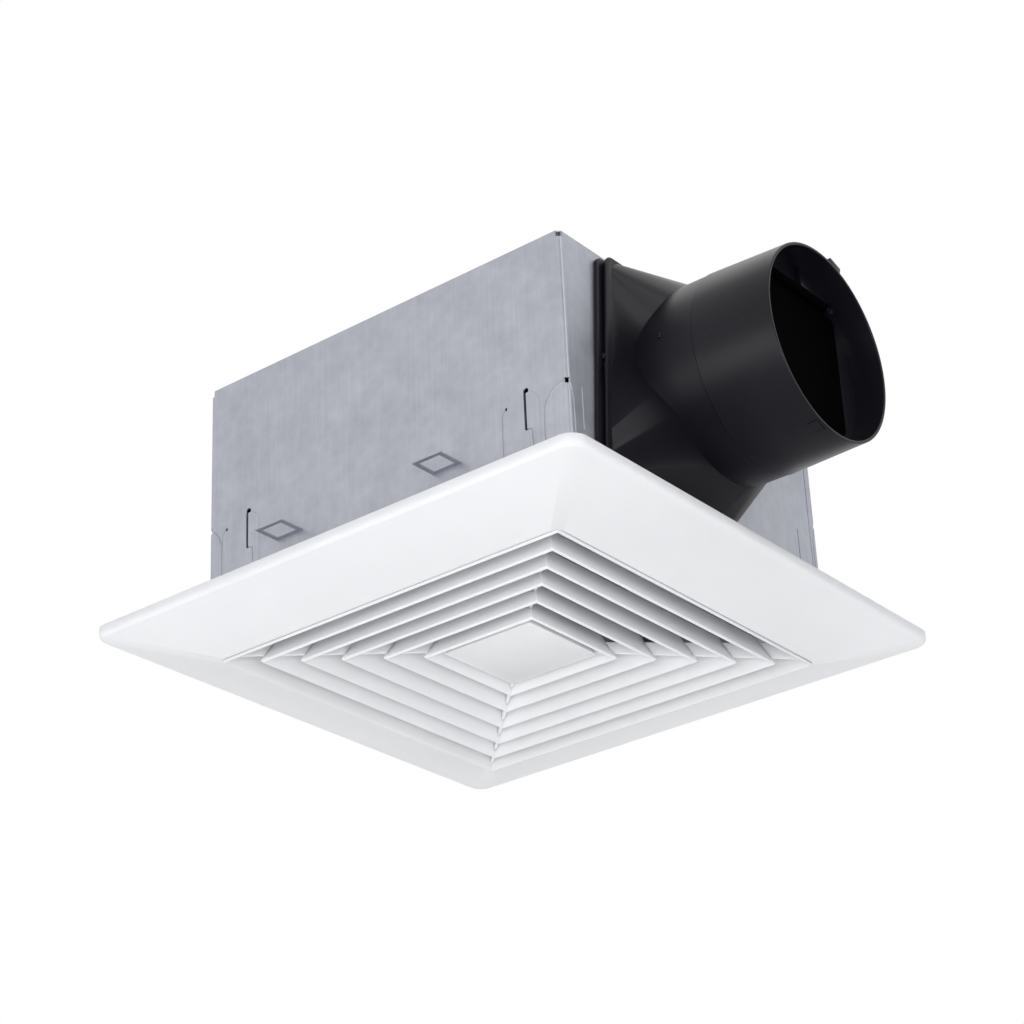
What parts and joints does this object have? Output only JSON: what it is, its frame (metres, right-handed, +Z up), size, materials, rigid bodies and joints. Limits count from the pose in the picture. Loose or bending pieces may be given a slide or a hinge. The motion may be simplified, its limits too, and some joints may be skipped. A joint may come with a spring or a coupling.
{
  "type": "ceiling exhaust fan",
  "caption": "Ducted ceiling exhaust fan: galvanised housing, square louvred grille on springs, centrifugal blower and round duct collar with a backdraft damper.",
  "frame": {"origin": "centre of the housing's screw flange, on the face that bears on the joists", "axes": "+Z up into the ceiling, +X out of the duct collar, -Y towards the pictured front"},
  "size_m": [0.489, 0.424, 0.2221],
  "materials": {
    "galvanised_sheet": "hot-dip galvanised sheet",
    "plated_steel": "zinc-plated steel",
    "black_moulding": "moulded black plastic",
    "white_moulding": "moulded white plastic",
    "black_rubber": "soft rubber"
  },
  "bodies": {
    "housing": {"housing_front": "galvanised_sheet", "housing_back": "galvanised_sheet", "housing_left": "galvanised_sheet", "housing_right": "galvanised_sheet", "housing_lid": "galvanised_sheet", "hanger_ears": "galvanised_sheet", "duct_adaptor": "black_moulding", "duct_collar": "black_moulding", "damper_pin": "black_moulding", "scroll_casing": "galvanised_sheet", "blower_plate": "galvanised_sheet", "orifice_plate": "galvanised_sheet", "bell_mouth": "galvanised_sheet", "motor": "plated_steel", "rubber_mounts": "black_rubber", "motor_screws": "plated_steel", "outlet_gasket": "black_rubber", "capacitor": "black_moulding", "capacitor_clip": "plated_steel", "junction_box": "galvanised_sheet", "junction_cover": "galvanised_sheet", "cover_screws": "plated_steel", "adaptor_screws": "plated_steel", "spring_bracket_front": "plated_steel", "spring_bracket_back": "plated_steel", "bracket_rivets": "plated_steel"},
    "rotor": {"wheel_blades": "galvanised_sheet", "wheel_ring": "galvanised_sheet", "wheel_disc": "galvanised_sheet", "motor_shaft": "plated_steel", "wheel_nut": "plated_steel"},
    "damper": {"damper_flap": "black_moulding"},
    "grille": {"grille_frame": "white_moulding", "louvre_panel": "white_moulding", "grille_spring_front": "plated_steel", "grille_spring_back": "plated_steel"}
  },
  "joints": [
    {"name": "wheel_spin", "type": "hinge", "parent": "housing", "child": "rotor", "pos_m": [-0.01, 0.03, 0.1], "axis": [0, 0, 1], "continuous": true},
    {"name": "damper_swing", "type": "hinge", "parent": "housing", "child": "damper", "pos_m": [0.2575, -0.006, 0.16], "axis": [0, -1, 0], "range_deg": [0, 70]},
    {"name": "grille_drop", "type": "slide", "parent": "housing", "child": "grille", "axis": [0, 0, -1], "range_m": [0, 0.05], "stiffness_N_per_m": 240, "springref_m": -0.05}
  ]
}
